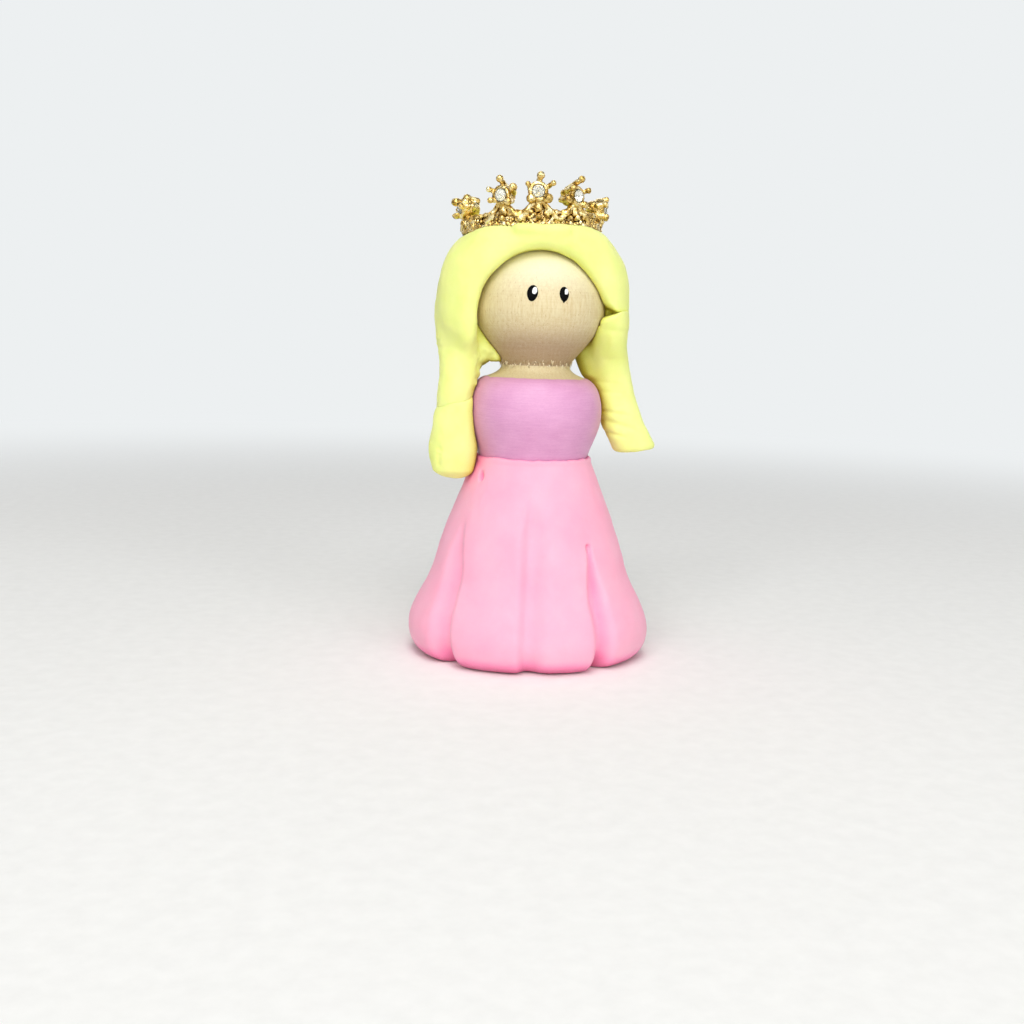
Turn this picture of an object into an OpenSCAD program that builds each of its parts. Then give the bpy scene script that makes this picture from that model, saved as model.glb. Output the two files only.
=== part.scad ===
// Princess peg doll: a turned wooden peg with a painted bodice and painted eyes, dressed in
// air-drying foam clay hair and skirt, and a small cast crown set with rhinestones.
// Millimetres. +Z up, origin on the peg's axis at its flat foot, face towards -Y.
// Left and right are the viewer's, looking at the face.

/* [Peg] */
// Height of the turned peg, from its foot to the top of the head
peg_h = 60.3; // [59.8:0.1:60.8]
// Diameter of the ball head
head_d = 19.8; // [19.4:0.1:20.0]
// Diameter of the neck
neck_d = 9.9; // [9.4:0.1:10.4]
// Diameter of the bust, the widest part of the painted bodice
bust_d = 19.6; // [19.2:0.1:19.8]
// Diameter of the waist
waist_d = 15.8; // [15.4:0.1:16.2]
// Diameter of the flat foot, inside the skirt
foot_d = 24; // [22:0.5:25]
// Thickness of the coat of bodice paint
paint_t = 0.15; // [0.1:0.05:0.2]

/* [Eyes] */
// Width of one painted eye
eye_w = 1.5; // [1.2:0.1:1.8]
// Height of one painted eye
eye_h = 2.25; // [2.0:0.05:2.5]
// Angle from the middle of the face to each eye
eye_turn = 13.4; // [12:0.2:16]
// Height of the eyes above the middle of the head
eye_up = 2.2; // [1.5:0.1:3]
// Thickness of each dot of eye paint
eye_t = 0.14; // [0.1:0.02:0.2]

/* [Skirt] */
// Diameter over the fullest part of the hem
hem_d = 35.9; // [35:0.1:36.5]
// Height of the skirt's top edge
skirt_h = 29.4; // [29:0.1:29.8]
// Depth of the pressed folds at the hem
fold_depth = 1.5; // [0.5:0.1:2]
// Half width of a pressed fold, as an angle round the skirt
fold_half_angle = 6.5; // [5:0.5:9]

/* [Hair] */
// Half width of the hair cap
cap_half_w = 14.1; // [13.8:0.1:14.4]
// How far the cap stands in front of the head's middle
cap_front = 10.2; // [9.8:0.1:10.4]
// How far the cap stands behind the head's middle
cap_back = 14; // [13.6:0.1:14.2]
// Height of the cap's top above the head's middle
cap_up = 13.8; // [13.6:0.1:14]
// Radius of the opening that shows the face
face_r = 9.05; // [8.9:0.05:9.2]

/* [Crown] */
// Outside diameter of the crown's band
crown_d = 20.2; // [19.8:0.1:20.6]
// Height of the band between two points
band_h = 2.5; // [2.3:0.1:2.7]
// Radial thickness of the band
band_t = 0.7; // [0.6:0.05:0.8]
// Height of the front stone's middle above the foot of the band
stone_up = 4.9; // [4.8:0.1:5.2]
// Diameter of a stone
stone_d = 2.2; // [2:0.1:2.3]
// Clearance between the band and its groove in the hair
seat_gap = 0.08; // [0.05:0.01:0.1]

/* [Hidden] */
$fn = 64;

// Colours
wood_colour = [0.90, 0.80, 0.64];
bodice_colour = [0.88, 0.62, 0.82];
clay_pink = [0.99, 0.72, 0.83];
clay_yellow = [0.95, 0.96, 0.55];
gold = [0.83, 0.62, 0.30];

// Peg
head_r = head_d / 2;
neck_r = neck_d / 2;
bust_r = bust_d / 2;
waist_r = waist_d / 2;
foot_r = foot_d / 2;
head_z = peg_h - head_r;
neck_z = 42.7;
shoulder_r = 7.3;
shoulder_z = 40.75;
bust_z = 35.7;
waist_z = 28.6;
foot_round = 0.5;
paint_low_z = 28.2;

// Skirt: the pressed folds' angles from the face, clockwise seen from below
fold_angles = [-149, -104, -58, -11.5, 31, 76, 121, 166];
fold_start_z = 23;
skirt_r = hem_d / 2;
skirt_steps = 96;

// Hair
cap_x = -0.6;
cap_low = 7.7;
cap_dome = 0.0085;
cap_power_x = 2.7;
cap_power_front = 4.5;
cap_power_back = 3.4;
cap_power_nape = 2.3;
cap_around = 48;
cap_rings = 22;
face_turn = -6.5;
face_z = 49.8;

// Crown: where the middle of the band's foot sits, and how it leans
crown_place = [-0.95, 1.7, 61.2];
crown_lean = [-2, -2.6, 0];
crown_turn = -3;
crown_r = crown_d / 2;
rail_t = 0.75;
rail_rise = 1.75;
rail_spread = 8;
foot_h = 1.2;
cup_r = 1.4;
cup_depth = 2.8;
cup_r_at = crown_r + 0.6;

// The crown's points from the viewer's left: angle from the front one, how far its cup is
// bent outwards, and how much lower its stone sits than the front one
points = [[-76, -8, 1.3], [-29, -6, 0.3], [0, 0, 0], [33, 10, 0.5], [75, 6, 1.6]];
point_ends = [-86, 85];
ball_r = 0.4;
top_ball_r = 0.5;

// A cubic Bezier from a to d, as n points that leave out d
function bezier(a, b, c, d, n) = [
    for (i = [0 : n - 1])
        let (t = i / n, s = 1 - t)
        s * s * s * a + 3 * s * s * t * b + 3 * s * t * t * c + t * t * t * d
];

// A smooth value from the stations [z, value, ...] at height z, by Catmull-Rom
function station(list, z, i = 0) = i < len(list) - 2 && z > list[i + 1][0] ? station(list, z, i + 1) : i;
function through(list, z) =
    let (
        i = station(list, z),
        p0 = list[max(i - 1, 0)],
        p1 = list[i],
        p2 = list[i + 1],
        p3 = list[min(i + 2, len(list) - 1)],
        t = (z - p1[0]) / (p2[0] - p1[0])
    )
    0.5 * (2 * p1 + (p2 - p0) * t + (2 * p0 - 5 * p1 + 4 * p2 - p3) * t * t
        + (3 * p1 - p0 - 3 * p2 + p3) * t * t * t);

function smooth(a, b, x) = let (t = min(1, max(0, (x - a) / (b - a)))) t * t * (3 - 2 * t);

function sum(list, i = 0) = i < len(list) - 1 ? list[i] + sum(list, i + 1) : list[i];
function middle(ring) = sum(ring) / len(ring);

// A closed solid through rings of equal length, each counter-clockwise from above, lowest first
module skin(rings) {
    n = len(rings[0]);
    m = len(rings);
    sides = [
        for (j = [0 : m - 2], i = [0 : n - 1])
            let (a = j * n + i, b = j * n + (i + 1) % n)
            each [[a, a + n, b], [b, a + n, b + n]]
    ];
    top = (m - 1) * n;
    low = [for (i = [0 : n - 1]) [m * n, i, (i + 1) % n]];
    high = [for (i = [0 : n - 1]) [m * n + 1, top + (i + 1) % n, top + i]];
    ends = [middle(rings[0]), middle(rings[m - 1])];
    polyhedron(points = concat([for (r = rings) each r], ends), faces = concat(sides, low, high));
}

// ---- Wooden peg ----

// The torso's outline from the waist up to the shoulder, used by the peg and by its paint
torso = concat(
    bezier([waist_r, waist_z], [waist_r, waist_z + 1.8], [bust_r, bust_z - 3], [bust_r, bust_z], 8),
    bezier([bust_r, bust_z], [bust_r, bust_z + 2.4], [9.0, shoulder_z - 0.5], [shoulder_r, shoulder_z], 8)
);

peg_outline = concat(
    [[0, 0], [foot_r - foot_round, 0]],
    bezier([foot_r, foot_round], [foot_r - 1, 10], [waist_r, 20], [waist_r, waist_z], 8),
    torso,
    bezier([shoulder_r, shoulder_z], [6.1, shoulder_z + 0.4], [neck_r, neck_z - 1.1], [neck_r, neck_z], 6),
    bezier([neck_r, neck_z], [neck_r + 1.2, neck_z + 1.5], [head_r, head_z - 2.6], [head_r, head_z], 8),
    [for (i = [0 : 11]) let (a = i * 90 / 12) [head_r * cos(a), head_z + head_r * sin(a)]],
    [[0, peg_h]]
);

module peg_solid() {
    rotate_extrude() polygon(peg_outline);
}

module wooden_peg() {
    color(wood_colour) peg_solid();
}

// The coat of paint follows the torso, from under the skirt's edge up to the neckline
module paint_solid() {
    inner = concat([[waist_r, paint_low_z]], torso, [[shoulder_r, shoulder_z]]);
    outer = [for (i = [len(inner) - 1 : -1 : 0]) inner[i] + [paint_t, i == len(inner) - 1 ? 0.02 : 0]];
    difference() {
        rotate_extrude() polygon(concat(inner, outer));
        peg_solid();
    }
}

module bodice_paint() {
    color(bodice_colour) paint_solid();
}

// ---- Painted eyes ----

// A thin patch of paint on the head, between two heights above its surface; children are its outline
module paint_patch(low, high, turn, up) {
    intersection() {
        translate([0, 0, head_z]) difference() {
            sphere(head_r + high);
            sphere(head_r + low);
        }
        translate([0, 0, head_z]) rotate([0, 0, turn]) translate([0, 0, up])
            rotate([90, 0, 0]) linear_extrude(head_r + 2) children();
    }
}

module eye(side) {
    low_r = eye_w * 0.34;
    color("black") paint_patch(0, eye_t, side * eye_turn, eye_up) hull() {
        translate([0, eye_h / 2 - eye_w / 2]) circle(eye_w / 2, $fn = 32);
        translate([0, low_r - eye_h / 2]) circle(low_r, $fn = 32);
    }
}

module eye_glint(side) {
    color("white") paint_patch(eye_t, eye_t * 1.8, side * eye_turn, eye_up)
        translate([eye_w * 0.2, eye_h * 0.2]) hull() {
            translate([0, 0.1]) circle(eye_w * 0.2, $fn = 24);
            translate([0, -0.1]) circle(eye_w * 0.2, $fn = 24);
        }
}

// ---- Clay skirt ----

skirt_outline = concat(
    bezier([skirt_r - 3.5, 0], [skirt_r - 1.3, 0], [skirt_r, 1.4], [skirt_r, 3.8], 5),
    bezier([skirt_r, 3.8], [skirt_r, 7.2], [15.2, 9.6], [14.1, 14], 6),
    bezier([14.1, 14], [13.2, 17.6], [11.4, 21.6], [waist_r + 0.45, skirt_h], 8),
    [[waist_r + 0.45, skirt_h]]
);

function angle_between(a, b) = abs(((a - b + 540) % 360) - 180);
function fold(a) = max([for (f = fold_angles) exp(-pow(angle_between(a, f) / fold_half_angle, 2))]);

module skirt_outer() {
    skin([
        for (p = skirt_outline)
            let (depth = fold_depth * (1 - smooth(8, fold_start_z, p[1])))
            [
                for (i = [0 : skirt_steps - 1])
                    let (a = i * 360 / skirt_steps, r = p[0] - depth * fold(a))
                    [r * sin(a), -r * cos(a), p[1]]
            ]
    ]);
}

module skirt() {
    color(clay_pink) difference() {
        skirt_outer();
        peg_solid();
        paint_solid();
    }
}

// ---- Clay hair ----

// How far a superellipse of the given power reaches sideways, at v of its height
function bulge(v, power) = pow(1 - pow(abs(v), power), 1 / power);

// How far the cap reaches to the front or back at v of its height: flat in front, round behind
function cap_depth(v, front) =
    front ? cap_front * bulge(v, cap_power_front) : cap_back * bulge(v, v < 0 ? cap_power_nape : cap_power_back);

// The cap's outside, a rounded egg round the head whose top falls away to both sides
module cap_outer() {
    skin([
        for (j = [0 : cap_rings])
            let (
                v = -cos(180 * (j + 0.35) / (cap_rings + 0.7)),
                wide = cap_half_w * bulge(v, cap_power_x)
            )
            [
                for (i = [0 : cap_around - 1])
                    let (
                        a = i * 360 / cap_around,
                        w = pow(pow(abs(sin(a)), 2.3) + pow(abs(cos(a)), 2.3), -1 / 2.3),
                        x = wide * w * sin(a),
                        y = -cap_depth(v, cos(a) > 0) * w * cos(a)
                    )
                    [cap_x + x, y, head_z + v * (v < 0 ? cap_low : cap_up - cap_dome * x * x)]
            ]
    ]);
}

// Everything in front of the face, at the opening's width, down past the chin
module face_opening() {
    rotate([0, 0, face_turn]) translate([0, -4, 0]) rotate([90, 0, 0]) {
        translate([0, face_z, 0]) cylinder(r = face_r, h = 20);
        translate([-face_r, face_z - 15, 0]) cube([face_r * 2, 15, 20]);
    }
}

// The groove that the crown's foot rests in, open upwards
module crown_seat() {
    on_head() difference() {
        translate([0, 0, -seat_gap]) cylinder(r = crown_r + seat_gap, h = 12);
        translate([0, 0, -1]) cylinder(r = crown_r - band_t - seat_gap, h = 14);
    }
}

// Stations of each rolled strand, lowest first: height, middle x and y, half width, half depth
left_strand = [
    [25.9, -11.3, -1.4, 1.2, 1.0],
    [27.0, -11.7, -1.5, 2.9, 2.2],
    [30.0, -12.0, -1.8, 3.5, 2.9],
    [34.0, -12.0, -2.1, 3.1, 3.0],
    [38.0, -11.8, -2.0, 2.8, 2.9],
    [42.0, -11.3, -1.2, 2.8, 2.9],
    [46.0, -11.2, 0.2, 3.3, 3.2],
    [50.0, -11.0, 1.2, 2.7, 2.6]
];
right_strand = [
    [27.5, 16.5, 0.0, 3.0, 2.0],
    [31.2, 15.05, 0.0, 3.25, 2.4],
    [34.0, 13.7, 0.7, 3.3, 2.6],
    [38.0, 12.4, 1.1, 3.1, 2.8],
    [42.0, 11.4, 0.8, 2.8, 2.9],
    [46.0, 10.8, -1.0, 2.9, 3.6],
    [49.0, 10.3, -2.0, 2.9, 4.2],
    [52.5, 9.8, -2.6, 3.1, 4.6]
];
// The right strand's inner side, turned in towards the neck
right_inner = [
    [39.8, 9.2, 2.0, 1.0, 1.0],
    [41.2, 8.7, 2.0, 1.7, 1.8],
    [43.6, 8.3, 2.0, 2.35, 2.3],
    [46.5, 8.2, 2.0, 2.7, 2.6],
    [50.3, 8.8, 2.0, 3.0, 2.6]
];
lock_around = 32;
lock_rings = 26;
seam_z = 37.3;
seam_slant = 18;
right_end = [15, 30.15];
right_end_slant = 6.3;
// Where the crease at the right cheek closes, and its slopes towards the face and outwards
cheek = [10.95, 50.35];
cheek_up = 0.62;
cheek_down = 0.42;
cheek_out = 0.22;
cheek_inner_x = 7.6;
cheek_back = -1;
// Further out than any part of the doll
far = 25;

module strand(stations) {
    low = stations[0][0];
    high = stations[len(stations) - 1][0];
    skin([
        for (j = [0 : lock_rings])
            let (s = through(stations, low + (high - low) * j / lock_rings))
            [
                for (i = [0 : lock_around - 1])
                    let (a = i * 360 / lock_around)
                    [s[1] + s[3] * cos(a), s[2] + s[4] * sin(a), s[0]]
            ]
    ]);
}

// Everything above the slanting seam across the left strand
module above_seam() {
    translate([-11, 0, seam_z]) rotate([0, -seam_slant, 0]) translate([-15, -15, 0]) cube([30, 30, 20]);
}

// A block through the doll from front to back y, with its outline in x and z
module through_front(outline, front, back) {
    translate([0, back, 0]) rotate([90, 0, 0]) linear_extrude(back - front) polygon(outline);
}

// The cap's edge is cut away at the right cheek, where the right strand starts
module right_cheek() {
    x = cheek_inner_x;
    through_front([
        [x, 30], [far, 30], [far, cheek[1] + cheek_out * (far - cheek[0])],
        cheek, [x, cheek[1] + cheek_up * (cheek[0] - x)]
    ], -far, cheek_back);
}

// Everything above the top of the right strand
module above_cheek() {
    through_front([
        [0, peg_h], [0, cheek[1] - cheek_down * cheek[0]], cheek,
        [far, cheek[1] + cheek_out * (far - cheek[0])], [far, peg_h]
    ], -far, far);
}

// Everything below the cut end of the right strand
module below_right_end() {
    translate([right_end[0], 0, right_end[1]]) rotate([0, -right_end_slant, 0])
        translate([-15, -15, -20]) cube([30, 30, 20]);
}

// The cap's lower edge at the left of the nape
module left_nape() {
    hull() {
        translate([-9, 2, 43.2]) sphere(1.7, $fn = 24);
        translate([-6.5, 3.2, 45.6]) sphere(1.5, $fn = 24);
    }
}

// What the clay is pressed against
module inner_doll() {
    peg_solid();
    paint_solid();
    skirt_outer();
}

// The cap runs down at the left as far as the seam
module hair_cap() {
    color(clay_yellow) difference() {
        union() {
            difference() {
                cap_outer();
                face_opening();
                right_cheek();
                crown_seat();
            }
            intersection() {
                strand(left_strand);
                above_seam();
            }
            left_nape();
        }
        inner_doll();
    }
}

module hair_lock_left() {
    color(clay_yellow) difference() {
        strand(left_strand);
        above_seam();
        inner_doll();
    }
}

module hair_lock_right() {
    color(clay_yellow) difference() {
        union() {
            strand(right_strand);
            strand(right_inner);
        }
        above_cheek();
        below_right_end();
        difference() {
            cap_outer();
            right_cheek();
        }
        inner_doll();
    }
}

// ---- Crown ----

module on_head() {
    translate(crown_place) rotate(crown_lean) rotate([0, 0, crown_turn]) children();
}

// Height of the rail at an angle: it rises to each point and dips between them
function rail_z(a) =
    band_h - rail_t / 2 + max([for (p = points) (rail_rise - p[2]) * exp(-pow((a - p[0]) / rail_spread, 2))]);

// Angles along the front of the crown, from one end of the rail to the other
function along(steps, cut) = [
    for (j = [0 : steps])
        point_ends[0] + cut + (point_ends[1] - point_ends[0] - 2 * cut) * j / steps
];

// A round wire along the rail, past the outermost points
module rail() {
    n = 10;
    r = crown_r - band_t / 2;
    wire = rail_t / 2;
    skin([
        for (a = along(86, 0))
            [
                for (i = [0 : n - 1])
                    let (b = -i * 360 / n, d = r + wire * cos(b))
                    [d * sin(a), -d * cos(a), rail_z(a) + wire * sin(b)]
            ]
    ]);
}

// The wall between the foot ring and the rail
module web() {
    r1 = crown_r - band_t * 0.3;
    r0 = crown_r - band_t * 0.7;
    skin([
        for (a = along(56, 2))
            let (z = rail_z(a))
            [
                [r1 * sin(a), -r1 * cos(a), 0.4],
                [r0 * sin(a), -r0 * cos(a), 0.4],
                [r0 * sin(a), -r0 * cos(a), z],
                [r1 * sin(a), -r1 * cos(a), z]
            ]
    ]);
}

module crown_band() {
    color(gold) on_head() difference() {
        union() {
            rotate_extrude() translate([crown_r - band_t, 0]) square([band_t, foot_h]);
            web();
            rail();
        }
        for (p = points) at_point(p) {
            translate([0, 0, -cup_depth - 1]) cylinder(r = cup_r, h = cup_depth + 3);
            setting_post();
            setting_claws();
        }
    }
}

// The frame of a point: at its stone's middle, with +Z outwards and +Y up
module at_point(p) {
    rotate([0, 0, p[0]]) translate([0, -cup_r_at, stone_up - p[2]])
        rotate([90, 0, p[1]]) children();
}

// One claw: a wire from the cup's side out to a ball, at an angle round the stone
module claw(angle, reach, ball) {
    start = [cos(angle) * (cup_r - 0.2), sin(angle) * (cup_r - 0.2), -1.4];
    tip = [cos(angle) * reach, sin(angle) * reach, 0.35];
    run = tip - start;
    translate(start) rotate([0, acos(run[2] / norm(run)), atan2(run[1], run[0])])
        cylinder(r = 0.3, h = norm(run), $fn = 24);
    translate(tip) sphere(ball, $fn = 32);
}

claws = [[90, 2.2, top_ball_r], [150, 1.95, ball_r], [30, 1.95, ball_r], [216, 1.75, ball_r], [324, 1.75, ball_r]];

// The claws are fitted into the rail where they touch it
module setting_claws() {
    for (c = claws) claw(c[0], c[1], c[2]);
}

// The post that carries a cup on the rail
module setting_post() {
    translate([0, -cup_r - 0.75, -0.9]) rotate([-90, 0, 0]) cylinder(r = 0.55, h = 1.2);
}

module setting_solid() {
    difference() {
        union() {
            translate([0, 0, -cup_depth]) cylinder(r = cup_r, h = cup_depth);
            setting_post();
            setting_claws();
        }
        translate([0, 0, -1]) cylinder(r = stone_d / 2 + 0.03, h = 3);
    }
}

module crown_setting(k) {
    color(gold) on_head() at_point(points[k - 1]) setting_solid();
}

// A brilliant: a shallow crown over a pointed back
module rhinestone(k) {
    r = stone_d / 2;
    color("white") on_head() at_point(points[k - 1]) {
        translate([0, 0, -0.95]) cylinder(r1 = 0.1, r2 = r, h = 0.9);
        translate([0, 0, -0.05]) cylinder(r = r, h = 0.12);
        translate([0, 0, 0.07]) cylinder(r1 = r, r2 = r * 0.58, h = 0.38);
    }
}

wooden_peg();
bodice_paint();
eye(-1);  // eye_left
eye(1);  // eye_right
eye_glint(-1);  // eye_glint_left
eye_glint(1);  // eye_glint_right
skirt();
hair_cap();
hair_lock_left();
hair_lock_right();
crown_band();
for (k = [1 : 5]) {
    crown_setting(k);
    rhinestone(k);
}
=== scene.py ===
"""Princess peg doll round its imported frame: turned wood, paint, foam clay and a cast crown.

Shapes are worked out in millimetres in the frame's own axes, +Z up with the face towards -Y,
and become metres when a mesh is made.
"""
from itertools import product
from math import cos, hypot, pi, radians, sin

import bpy
import numpy as np
from mathutils import Matrix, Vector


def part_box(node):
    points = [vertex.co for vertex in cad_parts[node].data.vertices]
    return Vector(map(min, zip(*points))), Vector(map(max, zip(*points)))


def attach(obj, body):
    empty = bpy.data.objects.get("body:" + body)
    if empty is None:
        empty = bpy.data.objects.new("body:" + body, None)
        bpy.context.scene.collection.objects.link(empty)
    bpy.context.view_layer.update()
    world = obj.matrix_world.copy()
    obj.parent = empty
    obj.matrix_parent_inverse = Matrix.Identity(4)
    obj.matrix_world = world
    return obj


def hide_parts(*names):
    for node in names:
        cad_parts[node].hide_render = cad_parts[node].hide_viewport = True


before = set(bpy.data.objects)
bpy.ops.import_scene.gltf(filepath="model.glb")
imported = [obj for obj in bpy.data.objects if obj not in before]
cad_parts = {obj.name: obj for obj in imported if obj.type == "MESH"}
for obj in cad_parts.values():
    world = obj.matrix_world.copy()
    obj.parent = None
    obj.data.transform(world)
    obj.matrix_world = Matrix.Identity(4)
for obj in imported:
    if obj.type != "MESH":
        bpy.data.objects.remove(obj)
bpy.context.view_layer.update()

MM = 0.001
BACKDROP = (237, 240, 241)


def high_corner(node):
    """The corner of the node's box with the greatest coordinates, in millimetres."""
    _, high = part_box(node)
    return np.array(high) / MM


# ---- sizes

PEG_HIGH = high_corner("wooden_peg")
SKIRT_HIGH = high_corner("skirt")
PAINT_HIGH = high_corner("bodice_paint")

HEAD_R = 9.9
HEAD_Z = PEG_HIGH[2] - HEAD_R
HEAD = np.array([0.0, 0.0, HEAD_Z])
NECK_R, NECK_Z = 4.95, 42.7
SHOULDER_R, SHOULDER_Z = 7.3, 40.75
BUST_R, BUST_Z = 9.8, 35.7
WAIST_R, WAIST_Z = 7.9, 28.6
FOOT_R = PEG_HIGH[0]
PAINT_T = PAINT_HIGH[0] - BUST_R
SKIRT_R = SKIRT_HIGH[0]
SKIRT_TOP = SKIRT_HIGH[2]

# The crown's frame, as the CAD leans it on the hair
CROWN_PLACE = np.array([-0.95, 1.7, 61.2])
CROWN_TILT, CROWN_ROLL, CROWN_TURN = -2.0, -2.6, -3.0
CROWN_R = 10.1
BAND_T = 0.7
BAND_H, RAIL_T = 2.5, 0.75
RAIL_RISE, RAIL_SPREAD = 1.75, 8.0
STONE_UP = 4.9
STONE_R = 0.85
CUP_R, CUP_DEPTH = 1.4, 2.8
CUP_R_AT = CROWN_R + 0.6
# Each point from the viewer's left: its angle, how far its cup is bent, how much lower it sits
POINTS = [(-76, -8, 1.3), (-29, -6, 0.3), (0, 0, 0), (33, 10, 0.5), (75, 6, 1.6)]
POINT_ENDS = (-86, 85)


# ---- shape tools

def bezier(a, b, c, d, n):
    """n points of a cubic curve, leaving out its last."""
    t = np.arange(n)[:, None] / n
    s = 1 - t
    a, b, c, d = (np.array(p, float) for p in (a, b, c, d))
    return s ** 3 * a + 3 * s * s * t * b + 3 * s * t * t * c + t ** 3 * d


def through(stations, z):
    """Smooth values at heights z from rows of [height, value, ...], by Catmull-Rom."""
    rows = np.array(stations, float)
    z = np.clip(z, rows[0, 0], rows[-1, 0])
    i = np.clip(np.searchsorted(rows[:, 0], z, side="right") - 1, 0, len(rows) - 2)
    p0, p1, p2, p3 = (rows[np.clip(i + k, 0, len(rows) - 1)] for k in (-1, 0, 1, 2))
    t = ((z - p1[:, 0]) / (p2[:, 0] - p1[:, 0]))[:, None]
    square, cube = t * t, t * t * t
    return (0.5 * (2 * p1 + (p2 - p0) * t + (2 * p0 - 5 * p1 + 4 * p2 - p3) * square
                   + (3 * p1 - p0 - 3 * p2 + p3) * cube))[:, 1:]


def ease(low, high, x):
    t = np.clip((x - low) / (high - low), 0, 1)
    return t * t * (3 - 2 * t)


def noise(points, seed):
    """Smooth gradient noise, about -1 to 1, at points given in noise cells."""
    rng = np.random.default_rng(seed)
    order = rng.permutation(256)
    slopes = rng.normal(size=(256, 3))
    slopes /= np.linalg.norm(slopes, axis=1)[:, None]
    cell = np.floor(points).astype(int)
    f = points - cell
    w = f * f * f * (f * (f * 6 - 15) + 10)
    total = np.zeros(len(points))
    for corner in product((0, 1), repeat=3):
        c = np.array(corner)
        h = order[(cell[:, 0] + c[0]) & 255]
        h = order[(h + cell[:, 1] + c[1]) & 255]
        h = order[(h + cell[:, 2] + c[2]) & 255]
        weight = np.prod(np.where(c, w, 1 - w), axis=1)
        total += np.einsum("ij,ij->i", slopes[h], f - c) * weight
    return total * 1.6


def smin(a, b, k):
    h = np.maximum(k - np.abs(a - b), 0) / k
    return np.minimum(a, b) - h * h * k / 4


def smax(a, b, k):
    return -smin(-a, -b, k)


def capsule(p, a, b, ra, rb):
    """Distance to a round bar from a to b whose radius goes from ra to rb."""
    a, b = np.array(a, float), np.array(b, float)
    run = b - a
    t = np.clip((p - a) @ run / (run @ run), 0, 1)
    return np.linalg.norm(p - a - t[:, None] * run, axis=1) - (ra + (rb - ra) * t)


def ball(p, centre, r):
    return np.linalg.norm(p - np.array(centre, float), axis=1) - r


def ring_faces(m, n, closed=False):
    """Quads over m rings of n points, joined back to the first ring if closed."""
    j, i = np.meshgrid(np.arange(m if closed else m - 1), np.arange(n), indexing="ij")
    up = (j + 1) % m
    side = (i + 1) % n
    return np.stack([j * n + i, j * n + side, up * n + side, up * n + i], -1).reshape(-1, 4)


def skin(rings):
    """A closed surface through rings, counter-clockwise from above and lowest first."""
    rings = np.asarray(rings)
    m, n, _ = rings.shape
    verts = np.vstack([rings.reshape(-1, 3), rings[0].mean(0), rings[-1].mean(0)])
    low, high, top = m * n, m * n + 1, (m - 1) * n
    faces = ring_faces(m, n).tolist()
    faces += [[low, (i + 1) % n, i] for i in range(n)]
    faces += [[high, top + i, top + (i + 1) % n] for i in range(n)]
    return verts, faces


def turned(outline, around):
    """Rings of the surface that an outline of (r, z) rows sweeps round the axis."""
    a = np.arange(around) * 2 * pi / around
    r, z = np.asarray(outline).T
    x, y = np.outer(r, np.sin(a)), -np.outer(r, np.cos(a))
    return np.stack([x, y, np.outer(z, np.ones(around))], -1)


def surface_net(field, low, high, step):
    """The zero surface of a field, negative inside, as vertices and quads."""
    axes = [np.arange(low[k], high[k] + step, step) for k in range(3)]
    shape = tuple(len(a) for a in axes)
    v = np.empty(shape, np.float64)
    yz = np.stack(np.meshgrid(axes[1], axes[2], indexing="ij"), -1).reshape(-1, 2)
    for i, x in enumerate(axes[0]):
        v[i] = field(np.column_stack([np.full(len(yz), x), yz])).reshape(shape[1:])
    inside = v < 0
    halves = (slice(0, -1), slice(1, None))
    count = sum(inside[tuple(halves[k] for k in c)].astype(int)
                for c in product((0, 1), repeat=3))
    mixed = (count > 0) & (count < 8)
    index = np.full(mixed.shape, -1)
    index[mixed] = np.arange(mixed.sum())
    cells = np.argwhere(mixed)
    total, crossings = np.zeros((len(cells), 3)), np.zeros(len(cells))
    quads = []
    for axis in range(3):
        first, second = (axis + 1) % 3, (axis + 2) % 3
        along = np.eye(3, dtype=int)[axis]
        for i, j in product((0, 1), repeat=2):
            a = i * np.eye(3, dtype=int)[first] + j * np.eye(3, dtype=int)[second]
            va, vb = v[tuple((cells + a).T)], v[tuple((cells + a + along).T)]
            cross = (va < 0) != (vb < 0)
            t = np.where(cross, va / np.where(cross, va - vb, 1), 0)
            total += (cells + a + t[:, None] * along) * cross[:, None]
            crossings += cross
        change = np.diff(inside.astype(int), axis=axis)
        e1, e2 = np.eye(3, dtype=int)[first], np.eye(3, dtype=int)[second]
        for sign in (1, -1):
            e = np.argwhere(change == sign)
            ids = np.stack([index[tuple((e - d).T)] for d in (e1 + e2, e2, 0 * e1, e1)], 1)
            quads.append(ids[:, ::-1] if sign > 0 else ids)
    verts = np.array(low) + step * total / crossings[:, None]
    for _ in range(3):
        slope = gradient(field, verts)
        move = field(verts)[:, None] * slope / np.maximum((slope ** 2).sum(1), 0.05)[:, None]
        verts -= np.clip(move, -0.4 * step, 0.4 * step)
    return verts, np.vstack(quads)


def gradient(field, points, h=0.01):
    return np.stack([(field(points + h * e) - field(points - h * e)) / (2 * h) for e in np.eye(3)], 1)


def normals(verts, faces):
    """Outward unit normals of the vertices of a quad mesh."""
    quads = np.asarray([f for f in faces if len(f) == 4])
    n = np.cross(verts[quads[:, 2]] - verts[quads[:, 0]], verts[quads[:, 3]] - verts[quads[:, 1]])
    total = np.zeros_like(verts)
    for k in range(4):
        for axis in range(3):
            total[:, axis] += np.bincount(quads[:, k], n[:, axis], len(verts))
    return total / np.maximum(np.linalg.norm(total, axis=1), 1e-9)[:, None]


def hand_worked(verts, faces, layers, mask=None):
    """Moves the surface in and out by noise: layers of (cell size, depth, seed)."""
    n = normals(verts, faces)
    rise = sum(depth * noise(verts / size, seed) for size, depth, seed in layers)
    return verts + n * (rise if mask is None else rise * mask)[:, None]


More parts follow.
